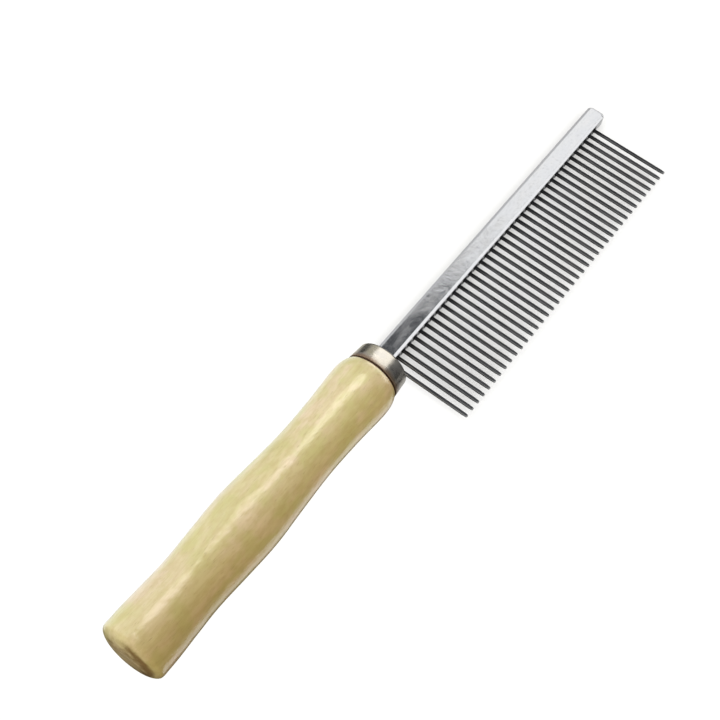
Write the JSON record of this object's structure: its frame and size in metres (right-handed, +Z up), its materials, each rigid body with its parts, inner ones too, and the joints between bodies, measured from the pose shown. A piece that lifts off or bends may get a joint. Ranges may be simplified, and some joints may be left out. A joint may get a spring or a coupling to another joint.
{
  "type": "steel grooming comb",
  "caption": "Pet grooming comb: a straight steel spine with a row of fixed wire teeth along one side, in a turned wooden handle with a steel ferrule.",
  "frame": {"origin": "centre of the small flat on the rounded butt at the rear end of the handle", "axes": "+X along the handle's axis towards the far end of the comb; +Z up, out of the comb's flat top face; the teeth point towards -Y"},
  "size_m": [0.2, 0.0338, 0.0178],
  "materials": {
    "lacquered_wood": "pale close-grained wood under clear gloss lacquer",
    "adhesive": "set amber adhesive, dull",
    "ferrule_steel": "nickel-plated drawn steel, bright, slightly dulled",
    "spine_steel": "ground and polished steel bar, fine lengthwise marks",
    "tooth_steel": "bright polished steel wire"
  },
  "bodies": {
    "root": {"handle": "lacquered_wood", "tang_glue": "adhesive", "ferrule": "ferrule_steel", "spine": "spine_steel", "tooth_01": "tooth_steel", "tooth_02": "tooth_steel", "tooth_03": "tooth_steel", "tooth_04": "tooth_steel", "tooth_05": "tooth_steel", "tooth_06": "tooth_steel", "tooth_07": "tooth_steel", "tooth_08": "tooth_steel", "tooth_09": "tooth_steel", "tooth_10": "tooth_steel", "tooth_11": "tooth_steel", "tooth_12": "tooth_steel", "tooth_13": "tooth_steel", "tooth_14": "tooth_steel", "tooth_15": "tooth_steel", "tooth_16": "tooth_steel", "tooth_17": "tooth_steel", "tooth_18": "tooth_steel", "tooth_19": "tooth_steel", "tooth_20": "tooth_steel", "tooth_21": "tooth_steel", "tooth_22": "tooth_steel", "tooth_23": "tooth_steel", "tooth_24": "tooth_steel", "tooth_25": "tooth_steel", "tooth_26": "tooth_steel", "tooth_27": "tooth_steel", "tooth_28": "tooth_steel", "tooth_29": "tooth_steel", "tooth_30": "tooth_steel", "tooth_31": "tooth_steel", "tooth_32": "tooth_steel", "tooth_33": "tooth_steel", "tooth_34": "tooth_steel", "tooth_35": "tooth_steel", "tooth_36": "tooth_steel", "tooth_37": "tooth_steel", "tooth_38": "tooth_steel", "tooth_39": "tooth_steel", "tooth_40": "tooth_steel"}
  },
  "joints": []
}
